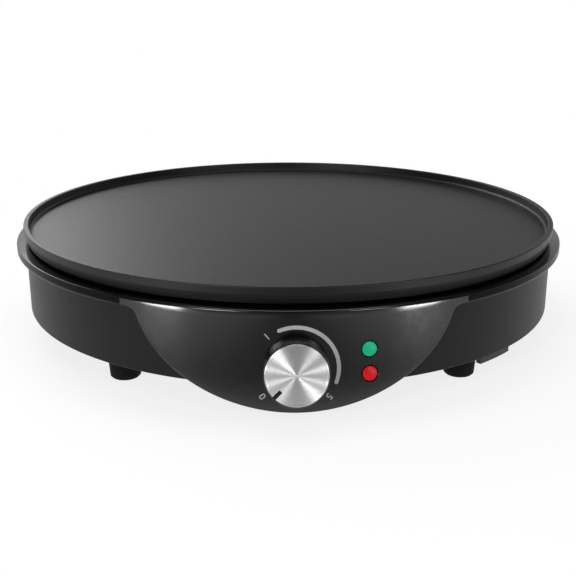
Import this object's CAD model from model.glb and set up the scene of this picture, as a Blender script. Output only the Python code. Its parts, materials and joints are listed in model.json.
"""Electric crepe maker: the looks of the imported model, in metres, in its own frame."""

import json
import math

import bmesh
import bpy
from mathutils import Matrix, Vector


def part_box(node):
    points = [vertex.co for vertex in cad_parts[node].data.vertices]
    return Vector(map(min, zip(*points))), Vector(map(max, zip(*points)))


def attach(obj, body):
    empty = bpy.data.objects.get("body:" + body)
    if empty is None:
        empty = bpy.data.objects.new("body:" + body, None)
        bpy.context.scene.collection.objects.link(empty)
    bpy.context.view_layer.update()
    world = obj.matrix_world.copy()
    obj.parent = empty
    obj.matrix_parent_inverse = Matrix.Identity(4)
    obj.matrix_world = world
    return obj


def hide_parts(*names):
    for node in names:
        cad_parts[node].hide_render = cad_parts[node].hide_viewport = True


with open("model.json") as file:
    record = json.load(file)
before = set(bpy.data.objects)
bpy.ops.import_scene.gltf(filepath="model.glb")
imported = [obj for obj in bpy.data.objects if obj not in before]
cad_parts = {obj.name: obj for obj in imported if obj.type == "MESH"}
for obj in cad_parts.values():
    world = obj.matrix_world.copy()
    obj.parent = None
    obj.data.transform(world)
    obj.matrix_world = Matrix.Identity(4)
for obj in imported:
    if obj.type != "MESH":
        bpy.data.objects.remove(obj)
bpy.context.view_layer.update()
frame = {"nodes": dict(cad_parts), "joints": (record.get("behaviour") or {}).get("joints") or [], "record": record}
NODES = frame["nodes"]
MM = 0.001
SCENE = bpy.context.scene

# ------------------------------------------------------------------ sizes, mm
# Taken from the frame where the frame has them

BASE_LOW, BASE_HIGH = (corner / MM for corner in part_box("base_housing"))
Z_RIM = BASE_HIGH.z
Z_WALL = BASE_LOW.z
RIM_R = BASE_HIGH.x

TILT = math.radians(7)          # slope of the front panel's face
PANEL_R = RIM_R + 0.2           # radius of that face at the rim
KNOB_Z = frame["joints"][0]["pos_m"][2] / MM


def panel_face_r(z):
    """Radius of the panel's face at height z."""
    return PANEL_R + (Z_RIM - z) * math.tan(TILT)


# ------------------------------------------------------------------ camera

def make_camera():
    """The photograph's viewpoint: low, a little to the left of the front."""
    data = bpy.data.cameras.new("camera")
    data.lens = 59.15
    data.sensor_width = 36.0
    data.shift_x = -0.0006
    camera = bpy.data.objects.new("camera", data)
    camera.location = (-0.0120, -0.5504, 0.1904)
    camera.rotation_euler = (math.radians(72.08), 0, math.radians(-1.25))
    SCENE.collection.objects.link(camera)
    SCENE.camera = camera


make_camera()

# ------------------------------------------------------------------ materials


class Paint:
    """A material's node tree with the few helpers that the surfaces below share."""

    def __init__(self, name, colour, roughness, metallic=0.0):
        self.material = bpy.data.materials.new(name)
        self.material.use_nodes = True
        self.tree = self.material.node_tree
        self.shader = self.tree.nodes["Principled BSDF"]
        self.set("Base Color", (*colour, 1.0))
        self.set("Roughness", roughness)
        self.set("Metallic", metallic)
        self.place = self.node("ShaderNodeTexCoord").outputs["Object"]

    def node(self, kind, **settings):
        made = self.tree.nodes.new(kind)
        for key, value in settings.items():
            if hasattr(made, key):
                setattr(made, key, value)
            else:
                made.inputs[key.replace("_", " ")].default_value = value
        return made

    def link(self, out, into):
        self.tree.links.new(out, into)

    def set(self, socket, value):
        self.shader.inputs[socket].default_value = value

    def noise(self, scale, detail=3.0):
        """Noise over the object's own coordinates, in metres."""
        made = self.node("ShaderNodeTexNoise", Scale=scale, Detail=detail, Roughness=0.5)
        self.link(self.place, made.inputs["Vector"])
        return made.outputs["Fac"]

    def math(self, operation, *values):
        """A Math node fed with numbers and sockets."""
        made = self.node("ShaderNodeMath", operation=operation)
        for socket, value in zip(made.inputs, values):
            if isinstance(value, (int, float)):
                socket.default_value = value
            else:
                self.link(value, socket)
        return made.outputs[0]

    def spread(self, value, low, high, from_low=0.3, from_high=0.7):
        """Maps a value's middle range onto low..high."""
        made = self.node("ShaderNodeMapRange")
        made.inputs["From Min"].default_value = from_low
        made.inputs["From Max"].default_value = from_high
        made.inputs["To Min"].default_value = low
        made.inputs["To Max"].default_value = high
        self.link(value, made.inputs["Value"])
        return made.outputs["Result"]

    def vary_roughness(self, value, low, high):
        self.link(self.spread(value, low, high), self.shader.inputs["Roughness"])

    def vary_colour(self, value, dark, light):
        ramp = self.node("ShaderNodeValToRGB")
        ramp.color_ramp.elements[0].position = 0.3
        ramp.color_ramp.elements[1].position = 0.7
        ramp.color_ramp.elements[0].color = (*dark, 1.0)
        ramp.color_ramp.elements[1].color = (*light, 1.0)
        self.link(value, ramp.inputs["Fac"])
        self.link(ramp.outputs["Color"], self.shader.inputs["Base Color"])

    def bump(self, value, depth_mm):
        made = self.node("ShaderNodeBump", Strength=1.0, Distance=depth_mm * MM)
        self.link(value, made.inputs["Height"])
        self.link(made.outputs["Normal"], self.shader.inputs["Normal"])


def shades(colour, share):
    """A darker and a lighter form of a colour."""
    return tuple(c * (1 - share) for c in colour), tuple(c * (1 + share) for c in colour)


def plain(name, colour, roughness, metallic=0.0, grain=900, depth=0.01, share=0.1, **sockets):
    """A surface with a fine grain in its colour, gloss and relief."""
    paint = Paint(name, colour, roughness, metallic)
    fine = paint.noise(grain, 3)
    broad = paint.noise(grain / 18, 2)
    paint.vary_colour(broad, *shades(colour, share))
    paint.vary_roughness(fine, roughness * 0.88, roughness * 1.12)
    paint.bump(fine, depth)
    for socket, value in sockets.items():
        paint.set(socket.replace("_", " "), value)
    return paint


def base_satin():
    """Satin plastic, polished on the rim band."""
    paint = plain(
        "base_satin", (0.002, 0.002, 0.0021), 0.45, grain=1800, depth=0.006, Specular_IOR_Level=0.18
    )
    split = paint.node("ShaderNodeSeparateXYZ")
    paint.link(paint.place, split.inputs[0])
    rim = (Z_RIM - 4.5) * MM, (Z_RIM - 3.5) * MM
    height = paint.spread(split.outputs["Z"], 0.42, 0.16, *rim)
    rough = paint.math("MULTIPLY_ADD", paint.noise(1800), 0.06, height)
    paint.link(rough, paint.shader.inputs["Roughness"])
    return paint


def make_materials():
    """One material for each material slot of the record, and one for the dial's print."""
    made = {"base_plastic": base_satin()}
    made["nonstick_aluminium"] = plain(
        "nonstick", (0.0022, 0.0022, 0.0023), 0.44, grain=1500, depth=0.012, share=0.06,
        Specular_IOR_Level=0.32,
    )
    made["panel_gloss"] = plain(
        "panel_gloss", (0.0018, 0.0018, 0.0019), 0.16, grain=300, depth=0.002, share=0.05,
        Specular_IOR_Level=0.6,
    )
    made["knob_plastic"] = plain("knob_plastic", (0.002, 0.002, 0.002), 0.25, grain=900, depth=0.003)
    made["spun_aluminium"] = plain(
        "spun_aluminium", (0.75, 0.75, 0.76), 0.28, 1.0, share=0.03, Anisotropic=0.8
    )
    made["cover_plastic"] = plain("cover_plastic", (0.004, 0.004, 0.0042), 0.55, grain=1200, depth=0.02)
    made["foot_rubber"] = plain(
        "foot_rubber", (0.0025, 0.0025, 0.0025), 0.7, grain=1000, depth=0.02, Specular_IOR_Level=0.12
    )
    made["gland_rubber"] = plain(
        "gland_rubber", (0.006, 0.006, 0.006), 0.6, grain=1000, depth=0.02, Specular_IOR_Level=0.25
    )
    made["lens_green"] = plain("lens_green", (0.002, 0.3, 0.15), 0.35, share=0.05, Specular_IOR_Level=0.2)
    made["lens_red"] = plain("lens_red", (0.42, 0.002, 0.003), 0.35, share=0.05, Specular_IOR_Level=0.2)
    made["lamp_glass"] = plain("lamp_glass", (0.9, 0.8, 0.7), 0.1, share=0.02, Transmission_Weight=0.8)
    made["element_sheath"] = plain("element_sheath", (0.2, 0.18, 0.16), 0.5, 0.9, share=0.25)
    made["copper"] = plain("copper", (0.72, 0.4, 0.25), 0.35, 1.0)
    made["zinc_steel"] = plain("zinc_steel", (0.6, 0.6, 0.57), 0.35, 1.0, share=0.08)
    made["fuse_sleeve"] = plain("fuse_sleeve", (0.8, 0.77, 0.68), 0.8, grain=2500, depth=0.08)
    made["shield_steel"] = plain("shield_steel", (0.62, 0.63, 0.64), 0.42, 1.0, share=0.05)
    made["mica"] = plain("mica", (0.66, 0.6, 0.46), 0.4, share=0.15)
    made["block_ceramic"] = plain("block_ceramic", (0.84, 0.82, 0.76), 0.25, share=0.03)
    made["brass"] = plain("brass", (0.78, 0.6, 0.28), 0.3, 1.0)
    made["control_ceramic"] = plain("control_ceramic", (0.76, 0.7, 0.6), 0.7, share=0.06)
    made["wire_brown"] = plain("wire_brown", (0.16, 0.07, 0.03), 0.5)
    made["wire_red"] = plain("wire_red", (0.5, 0.03, 0.03), 0.5)
    made["wire_blue"] = plain("wire_blue", (0.03, 0.08, 0.45), 0.5)
    made["wire_green"] = plain("wire_green", (0.1, 0.36, 0.05), 0.5)
    made["dial_print"] = plain("dial_print", (0.27, 0.27, 0.27), 0.5, share=0.05)
    return {slot: paint.material for slot, paint in made.items()}


MATERIALS = make_materials()
SLOTS = {entry["node"]: entry["material_slot"] for entry in frame["record"]["subparts"]}

for node_name, node in NODES.items():
    node.data.materials.clear()
    node.data.materials.append(MATERIALS[SLOTS[node_name]])

# ------------------------------------------------------------------ mesh helpers


def make_mesh(name, vertices, faces):
    """A closed mesh from points in mm."""
    mesh = bpy.data.meshes.new(name)
    mesh.from_pydata([Vector(v) * MM for v in vertices], [], faces)
    built = bmesh.new()
    built.from_mesh(mesh)
    bmesh.ops.remove_doubles(built, verts=built.verts, dist=1e-7)
    bmesh.ops.recalc_face_normals(built, faces=built.faces)
    built.to_mesh(mesh)
    built.free()
    return mesh


def make_piece(name, vertices, faces, slot, body="root", sharp=35):
    """A piece shaded smooth, except where it turns by more than the sharp angle."""
    mesh = make_mesh(name, vertices, faces)
    mesh.materials.append(MATERIALS[slot])
    piece = bpy.data.objects.new(name, mesh)
    SCENE.collection.objects.link(piece)
    smooth(piece, sharp)
    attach(piece, body)
    return piece


def smooth(piece, sharp):
    piece.data.shade_smooth()
    piece.data.set_sharp_from_angle(angle=math.radians(sharp))


def loft(sections, ring=False):
    """Joins closed sections of equally many points, with end faces unless they form a ring."""
    count, last = len(sections[0]), len(sections) - 1
    vertices = [point for section in sections for point in section]
    faces = []
    for i in range(len(sections) if ring else last):
        here, there = i * count, (i + 1) % len(sections) * count
        for j in range(count):
            k = (j + 1) % count
            faces.append((here + j, there + j, there + k, here + k))
    if not ring:
        faces.append(tuple(range(count)))
        faces.append(tuple(range(last * count, last * count + count)))
    return vertices, faces


def lathe(profile, segments=128, matrix=None):
    """Turns a closed profile of (radius, z) round Z, then moves it by the matrix."""
    hair = 0.002
    profile = [(max(r, hair), z) for r, z in profile]
    turns = [2 * math.pi * i / segments for i in range(segments)]
    sections = [[(r * math.sin(t), -r * math.cos(t), z) for r, z in profile] for t in turns]
    vertices, faces = loft(sections, ring=True)
    if matrix:
        vertices = [matrix @ Vector(v) for v in vertices]
    return vertices, faces


def box_at(low, high, matrix=None):
    section = [(low[0], low[1]), (high[0], low[1]), (high[0], high[1]), (low[0], high[1])]
    vertices, faces = loft([[(*p, low[2]) for p in section], [(*p, high[2]) for p in section]])
    if matrix:
        vertices = [matrix @ Vector(v) for v in vertices]
    return vertices, faces


def together(*solids):
    """Several solids as one list of points and one of faces."""
    vertices, faces = [], []
    for points, sides in solids:
        faces += [tuple(i + len(vertices) for i in side) for side in sides]
        vertices += points
    return vertices, faces


def fillet(centre, radius, start, end, steps=6):
    """Points of a round in a profile, between two angles in degrees."""
    turns = [math.radians(start + (end - start) * i / steps) for i in range(steps + 1)]
    return [(centre[0] + radius * math.cos(t), centre[1] + radius * math.sin(t)) for t in turns]


def cut(piece, vertices, faces):
    """Takes a closed solid out of the piece."""
    cutter = bpy.data.objects.new("cutter", make_mesh("cutter", vertices, faces))
    SCENE.collection.objects.link(cutter)
    step = piece.modifiers.new("cut", "BOOLEAN")
    step.operation = "DIFFERENCE"
    step.solver = "EXACT"
    step.object = cutter
    graph = bpy.context.evaluated_depsgraph_get()
    done = bpy.data.meshes.new_from_object(piece.evaluated_get(graph), depsgraph=graph)
    piece.modifiers.clear()
    piece.data = done
    bpy.data.objects.remove(cutter)


def cubic(points, t):
    """Point and direction at t on the cubic curve with these four control points."""
    a, b, c, d = (Vector(p) for p in points)
    u = 1 - t
    spot = u ** 3 * a + 3 * u * u * t * b + 3 * u * t * t * c + t ** 3 * d
    way = u * u * (b - a) + 2 * u * t * (c - b) + t * t * (d - c)
    return spot, way.normalized()


def face_point(x, z, out=0.0):
    """The point out mm in front of the panel's face, at x and height z."""
    return (x, -math.sqrt((panel_face_r(z) + out) ** 2 - x * x), z)


def on_face(angle, z):
    """The frame of the panel's face: X to the right, Y up the face, Z out of it."""
    turn = Matrix.Rotation(math.radians(angle), 4, "Z")
    tilt = Matrix.Rotation(math.radians(90) - TILT, 4, "X")
    return turn @ Matrix.Translation((0, -panel_face_r(z), z)) @ tilt


KNOB = on_face(0, KNOB_Z)

# ------------------------------------------------------------------ front panel

WALL_R = RIM_R - 5
PANEL_BACK_R = WALL_R + 0.1
SKIN = 2.5
LAMP_A = 12                     # degrees to the right of the front
LAMP_ZS = (33.8, 22.5)
LAMP_HOLE_R = 3.85
SHAFT_HOLE_R = 4.5
CHIN_Z = 5.7
SHOULDER = (73.1, Z_RIM - 7.1)
SEAM = (80.9, Z_RIM - 3.7)
BOW = (
    (0, CHIN_Z),
    (0.42 * SHOULDER[0], CHIN_Z),
    (0.88 * SHOULDER[0], CHIN_Z + 0.355 * (SHOULDER[1] - CHIN_Z)),
    SHOULDER,
)
FLARE = (
    SHOULDER,
    (SHOULDER[0] + 0.78, SHOULDER[1] + 0.7 * (SEAM[1] - SHOULDER[1])),
    (SHOULDER[0] + 3.9, SEAM[1]),
    SEAM,
)


def panel_outline():
    """Points and outward normals of the lower outline, from the left seam to the right."""
    curves = [cubic(BOW, i / 72) for i in range(73)] + [cubic(FLARE, i / 16) for i in range(1, 17)]
    right = [(spot, Vector((way.y, -way.x))) for spot, way in curves]
    left = [(Vector((-spot.x, spot.y)), Vector((-out.x, out.y))) for spot, out in right[:0:-1]]
    return left + right


def back_point(x, z):
    return (x, -math.sqrt(PANEL_BACK_R ** 2 - x * x), z)


def panel_section(spot, normal):
    """The panel's closed section over one point of its lower outline."""
    height = Z_RIM - spot.y
    edge = min(0.6, 0.3 * height)
    crest = min(0.8, 0.25 * height)
    skin = min(SKIN, 0.4 * height)
    section = [back_point(spot.x, spot.y)]
    for across, along in fillet((0, 0), edge, 0, 90):
        low = spot - normal * (edge - across)
        section.append(face_point(low.x, low.y, along - edge))
    low = spot - normal * edge
    high = Vector((spot.x, Z_RIM - crest))
    for i in range(1, 13):
        point = low.lerp(high, i / 12)
        section.append(face_point(point.x, point.y))
    for across, along in fillet((0, 0), crest, 0, 90)[1:]:
        section.append(face_point(spot.x, high.y + along, across - crest))
    section.append(back_point(spot.x, Z_RIM))
    section.append(back_point(spot.x, Z_RIM - skin))
    section.append(face_point(spot.x, Z_RIM - skin, -skin))
    section.append(face_point(spot.x, spot.y + skin, -skin))
    section.append(back_point(spot.x, spot.y + skin))
    return section


def make_control_panel():
    sections = [panel_section(*point) for point in panel_outline()]
    panel = make_piece("panel_moulding", *loft(sections), "panel_gloss")
    wide = LAMP_HOLE_R + 0.25
    bevelled = [(0, -6), (LAMP_HOLE_R, -6), (LAMP_HOLE_R, -0.25), (wide, 0), (wide, 2), (0, 2)]
    for z in LAMP_ZS:
        cut(panel, *lathe(bevelled, 64, on_face(LAMP_A, z)))
    cut(panel, *lathe([(0, -6), (SHAFT_HOLE_R, -6), (SHAFT_HOLE_R, 2), (0, 2)], 64, KNOB))
    smooth(panel, 30)
    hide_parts("control_panel")


make_control_panel()

# ------------------------------------------------------------------ base

BAND_H = 3.5
INLET_Z = 28
INLET_R = 6.1


def housing_profile():
    inner_r = WALL_R - SKIN
    shelf_r = WALL_R - 15.8
    z_band = Z_RIM - BAND_H
    points = fillet((inner_r + 0.4, Z_WALL + 0.4), 0.4, 180, 270, 3)
    points += fillet((WALL_R - 0.8, Z_WALL + 0.8), 0.8, 270, 360)
    points += fillet((WALL_R + 1.5, z_band - 3), 1.5, 180, 90)
    points += fillet((RIM_R - 1.5, z_band), 1.5, 270, 360)
    points += fillet((RIM_R - 0.6, Z_RIM - 0.6), 0.6, 0, 90)
    points += fillet((shelf_r + 0.5, Z_RIM - 0.5), 0.5, 90, 180, 4)
    points += [(shelf_r, Z_RIM - 6), (shelf_r + 2, Z_RIM - 6)]
    points += [(shelf_r + 2, Z_RIM - SKIN), (inner_r, Z_RIM - SKIN)]
    return points


def rim_notch(grow):
    """The block that the panel's outline, grown a little, takes out of the rim."""
    back_r = WALL_R - 0.03
    sections = []
    for spot, normal in panel_outline():
        low = spot + normal * grow
        if abs(spot.x) == SEAM[0]:
            low.x += math.copysign(grow, spot.x)
        back = -math.sqrt(back_r ** 2 - low.x ** 2)
        front = -RIM_R - 10
        sections.append([
            (low.x, front, low.y), (low.x, front, Z_RIM + 5), (low.x, back, Z_RIM + 5), (low.x, back, low.y)
        ])
    return loft(sections)


def darken_band(base):
    """The rim's upright face is plain black between the light lines of its two rounds."""
    band = plain(
        "rim_black", (0.0016, 0.0016, 0.0016), 0.3, grain=1800, depth=0.003, Specular_IOR_Level=0.05
    )
    base.data.materials.append(band.material)
    for face in base.data.polygons:
        spot = face.center / MM
        if spot.xy.length > RIM_R - 0.25 and Z_RIM - BAND_H + 0.1 < spot.z < Z_RIM - 0.6:
            face.material_index = 1


def make_base():
    base = make_piece("base_moulding", *lathe(housing_profile(), 288), "base_plastic")
    cut(base, *rim_notch(0.3))
    inlet = Matrix.Translation((0, WALL_R, INLET_Z)) @ Matrix.Rotation(math.radians(-90), 4, "X")
    cut(base, *lathe([(0, -6), (INLET_R, -6), (INLET_R, 6), (0, 6)], 64, inlet))
    smooth(base, 35)
    darken_band(base)
    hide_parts("base_housing")


make_base()

# ------------------------------------------------------------------ heat control

# Heights are above the panel's face
KNOB_TOP = 10.2                 # seat of the metal face
KNOB_R = 15.5
CAP_R = 14.2
FACE_Z = 10.9                   # rim of the metal face
GROOVE = 0.24                   # spacing of the turned grooves
POINTER_L = 4.4
POINTER_W = 1.9
POINTER_A = 135                 # degrees anticlockwise from the top, at rest

def turned_metal():
    """Turned aluminium: fine grooves round the axis draw the lights out into rays."""
    paint = Paint("turned_aluminium", (0.8, 0.8, 0.8), 0.4, 1.0)
    split = paint.node("ShaderNodeSeparateXYZ")
    paint.link(paint.place, split.inputs[0])
    across = [paint.math("POWER", split.outputs[axis], 2.0) for axis in "XY"]
    radius = paint.math("SQRT", paint.math("ADD", *across))
    groove = paint.math("SINE", paint.math("MULTIPLY", radius, 2 * math.pi / (GROOVE * MM)))
    paint.bump(groove, 0.002)
    paint.vary_roughness(paint.noise(4000, 2), 0.37, 0.43)
    paint.vary_colour(paint.noise(900, 2), (0.76, 0.76, 0.76), (0.82, 0.82, 0.82))
    paint.set("Anisotropic", 0.95)
    paint.set("Anisotropic Rotation", 0.25)
    tangent = paint.node("ShaderNodeTangent", direction_type="RADIAL", axis="Z")
    paint.link(tangent.outputs["Tangent"], paint.shader.inputs["Tangent"])
    return paint.material


def knob_profile():
    """The black body, with the seat of the metal face on top."""
    points = [(0, 1.6), (6, 1.6), (6, 4), (KNOB_R - 1.8, 4)]
    points += fillet((KNOB_R - 0.3, 0.9), 0.3, 180, 360)
    points += [(KNOB_R - 0.15, 3), (KNOB_R - 0.55, 8)]
    points += fillet((CAP_R + 0.05, KNOB_TOP - 0.2), 0.6, 10, 90)
    points += [(CAP_R + 0.02, KNOB_TOP + 0.35), (CAP_R + 0.02, KNOB_TOP), (0, KNOB_TOP)]
    return points


def make_knob():
    pointer = Matrix.Rotation(math.radians(POINTER_A), 4, "Z")
    half = POINTER_W / 2
    inner_end = CAP_R - POINTER_L
    bar_low = (0.25 - half, inner_end + 0.1, KNOB_TOP - 1)
    bar = box_at(bar_low, (half - 0.25, CAP_R - 0.2, FACE_Z - 0.1), KNOB @ pointer)
    moulding = together(lathe(knob_profile(), 160, KNOB), bar)
    body = make_piece("knob_moulding", *moulding, "knob_plastic", "knob_body")
    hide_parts("knob")
    # the face has its own frame, so that its grooves run round the knob's axis
    dish = [(r, FACE_Z - 0.12 + 0.06 * (r / 12) ** 2) for r in range(12, -1, -1)]
    rim = [(CAP_R, KNOB_TOP)] + fillet((CAP_R - 0.3, FACE_Z - 0.3), 0.3, 0, 90)
    rim += [(CAP_R - 0.75, FACE_Z), (CAP_R - 0.9, FACE_Z - 0.12)]
    face = make_piece("knob_face", *lathe([(0, KNOB_TOP)] + rim + dish, 160), "spun_aluminium", "knob_body")
    cut(face, *box_at((-half, inner_end, KNOB_TOP - 1), (half, CAP_R + 1, FACE_Z + 1), pointer))
    smooth(face, 35)
    face.data.materials[0] = turned_metal()
    frame_of_face = KNOB.copy()
    frame_of_face.translation *= MM
    face.parent = None
    face.matrix_world = frame_of_face
    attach(face, "knob_body")
    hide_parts("knob_cap")


make_knob()

# ------------------------------------------------------------------ dial print

TEXT_R = 19.6
TEXT_H = 3.2
NUMBERS = {"1": -41, "5": 131, "0": -130}
ARC = (-26, 112.5, 18.3, 20.1)  # start and end angle, inner and outer radius
PRINT_T = 0.04                  # thickness of the print


def on_dial(x, y, out):
    """A point of the print round the knob: x to the right and y up, in mm."""
    return face_point(x, KNOB_Z + y * math.cos(TILT), out)


def dial_arc(start, end, inner, outer):
    """A raised band round the knob, with angles clockwise from the top."""
    middle, half = (inner + outer) / 2, (outer - inner) / 2
    steps = 90
    sections = []
    for i in range(steps + 1):
        angle = start + (end - start) * i / steps
        run = min(i, steps - i) / steps * (end - start) * math.pi / 180 * middle
        width = half * math.sqrt(max(0.05, 1 - max(0, 1 - run / half) ** 2))
        turn = math.radians(angle)
        low, high = middle - width, middle + width
        corners = ((low, -0.05), (high, -0.05), (high, PRINT_T), (low, PRINT_T))
        sections.append([on_dial(r * math.sin(turn), r * math.cos(turn), out) for r, out in corners])
    return loft(sections)


def dial_number(text, angle):
    """A printed number that stands on the circle round the knob."""
    curve = bpy.data.curves.new("number", "FONT")
    curve.body = text
    curve.align_x = "CENTER"
    curve.align_y = "CENTER"
    curve.size = TEXT_H / 0.7    # a figure is 0.7 of the size in height
    curve.extrude = PRINT_T
    curve.offset = 0.07
    written = bpy.data.objects.new("number", curve)
    SCENE.collection.objects.link(written)
    graph = bpy.context.evaluated_depsgraph_get()
    mesh = bpy.data.meshes.new_from_object(written.evaluated_get(graph))
    bpy.data.objects.remove(written)
    turn = math.radians(-angle)
    vertices = []
    for v in mesh.vertices:
        spot = Matrix.Rotation(turn, 2) @ Vector((v.co.x, v.co.y + TEXT_R))
        vertices.append(on_dial(spot.x, spot.y, v.co.z))
    return vertices, [tuple(face.vertices) for face in mesh.polygons]


def make_dial():
    numbers = [dial_number(text, angle) for text, angle in NUMBERS.items()]
    make_piece("dial_arc", *dial_arc(*ARC), "dial_print")
    make_piece("dial_numbers", *together(*numbers), "dial_print")


make_dial()

# ------------------------------------------------------------------ stage

FRONT_DARK = 0.06               # what the gloss sees in front of the product
FRONT_SIDES = (0.03, 0.35)      # metres aside over which that dark ends
ROOM_DARK = 0.08                # what the gloss sees above and in front
ROOM_FADE = (0.08, 0.5)         # heights over which the backdrop's white ends
FLOOR_WHITE = 0.8               # how much of the near floor's look is plain white
LAMPS = (
    ("key", (-0.8, 1.1, 0.9), (0, 0, 0.03), (1.0, 0.7), 14),
    ("above", (0, 0.25, 1.5), (0, -0.1, 0.03), (1.1, 0.6), 8),
    ("left", (-0.56, -1.07, 0.45), (0, -0.16, 0.03), (0.3, 0.3), 5),
    ("right", (0.56, -1.04, 0.5), (0, -0.16, 0.03), (0.3, 0.3), 2.6),
    ("low_left", (-0.9, -0.85, 0.05), (0, -0.16, 0.03), (0.3, 0.08), 3),
    ("low_right", (0.9, -0.85, 0.05), (0, -0.16, 0.03), (0.3, 0.08), 3),
)


class Tree:
    """A node tree of the stage, with links made by name."""

    def __init__(self, tree):
        self.tree = tree
        path = tree.nodes.new("ShaderNodeLightPath").outputs
        self.camera = path["Is Camera Ray"]
        self.gloss = path["Is Glossy Ray"]
        self.glass = path["Is Transmission Ray"]

    def math(self, operation, first, second=0.0, third=0.0):
        node = self.tree.nodes.new("ShaderNodeMath")
        node.operation = operation
        for socket, value in zip(node.inputs, (first, second, third)):
            if isinstance(value, (int, float)):
                socket.default_value = value
            else:
                self.tree.links.new(value, socket)
        return node.outputs[0]

    def ramp(self, value, low, high, at_low, at_high):
        node = self.tree.nodes.new("ShaderNodeMapRange")
        node.interpolation_type = "SMOOTHSTEP"
        names = ("From Min", "From Max", "To Min", "To Max")
        for name, number in zip(names, (low, high, at_low, at_high)):
            node.inputs[name].default_value = number
        self.tree.links.new(value, node.inputs["Value"])
        return node.outputs["Result"]

    def place(self, kind):
        coordinates = self.tree.nodes.new("ShaderNodeTexCoord").outputs[kind]
        split = self.tree.nodes.new("ShaderNodeSeparateXYZ")
        self.tree.links.new(coordinates, split.inputs[0])
        return split.outputs

    def light(self, kind, strength):
        node = self.tree.nodes.new(kind)
        node.inputs["Color"].default_value = (1, 1, 1, 1)
        if isinstance(strength, float):
            node.inputs["Strength"].default_value = strength
        else:
            self.tree.links.new(strength, node.inputs["Strength"])
        return node.outputs[0]

    def mix(self, share, first, second):
        node = self.tree.nodes.new("ShaderNodeMixShader")
        self.tree.links.new(share, node.inputs["Fac"])
        self.tree.links.new(first, node.inputs[1])
        self.tree.links.new(second, node.inputs[2])
        return node.outputs[0]


def make_floor():
    """A pale floor that reads as white and keeps a soft shadow."""
    bpy.ops.mesh.primitive_circle_add(vertices=96, radius=8, fill_type="NGON")
    floor = bpy.context.object
    floor.name = "floor"
    material = bpy.data.materials.new("floor")
    material.use_nodes = True
    tree = Tree(material.node_tree)
    shader = tree.tree.nodes["Principled BSDF"]
    shader.inputs["Base Color"].default_value = (0.9, 0.9, 0.9, 1)
    shader.inputs["Roughness"].default_value = 1.0
    shader.inputs["Specular IOR Level"].default_value = 0.0
    # in the gloss, the room is dark in front of the product and white at its sides
    x, y = tree.place("Object")[:2]
    aside = tree.ramp(tree.math("ABSOLUTE", x), *FRONT_SIDES, FRONT_DARK, 1.0)
    ahead = tree.ramp(y, -0.3, -0.17, 0.0, 1.0)
    gloss = tree.math("MAXIMUM", aside, ahead)
    squares = [tree.math("POWER", side, 2.0) for side in (x, y)]
    distance = tree.math("SQRT", tree.math("ADD", *squares))
    white = tree.ramp(distance, 0.14, 0.36, FLOOR_WHITE, 1.0)
    seen = tree.math("MULTIPLY", tree.math("MAXIMUM", tree.camera, tree.glass), white)
    whole = tree.light("ShaderNodeEmission", 1.0)
    mirrored = tree.light("ShaderNodeEmission", gloss)
    surface = tree.mix(seen, shader.outputs[0], whole)
    surface = tree.mix(tree.math("MULTIPLY", tree.gloss, FLOOR_WHITE), surface, mirrored)
    tree.tree.links.new(surface, tree.tree.nodes["Material Output"].inputs["Surface"])
    floor.data.materials.append(material)


def make_world():
    """White behind the product, fading to a darker room above it and in front of it."""
    world = bpy.data.worlds.new("world")
    world.use_nodes = True
    SCENE.world = world
    tree = Tree(world.node_tree)
    y, z = tree.place("Generated")[1:]
    behind = tree.ramp(y, -0.4, 0.3, 0.0, 1.0)
    backdrop = tree.math("MULTIPLY", behind, tree.ramp(z, *ROOM_FADE, 1.0, 0.0))
    room = tree.math("MULTIPLY_ADD", backdrop, 1 - ROOM_DARK, ROOM_DARK)
    sky = tree.light("ShaderNodeBackground", 0.4)
    white = tree.light("ShaderNodeBackground", 1.0)
    studio = tree.light("ShaderNodeBackground", room)
    surface = tree.mix(tree.math("MAXIMUM", tree.camera, tree.glass), sky, white)
    surface = tree.mix(tree.gloss, surface, studio)
    tree.tree.links.new(surface, tree.tree.nodes["World Output"].inputs["Surface"])


def area_light(name, place, aim, size, watts):
    data = bpy.data.lights.new(name, "AREA")
    data.shape = "RECTANGLE"
    data.size, data.size_y = size
    data.energy = watts
    light = bpy.data.objects.new(name, data)
    light.location = place
    light.rotation_euler = (Vector(aim) - Vector(place)).to_track_quat("-Z", "Y").to_euler()
    SCENE.collection.objects.link(light)


make_floor()
make_world()
for lamp in LAMPS:
    area_light(*lamp)
SCENE.view_settings.view_transform = "Standard"
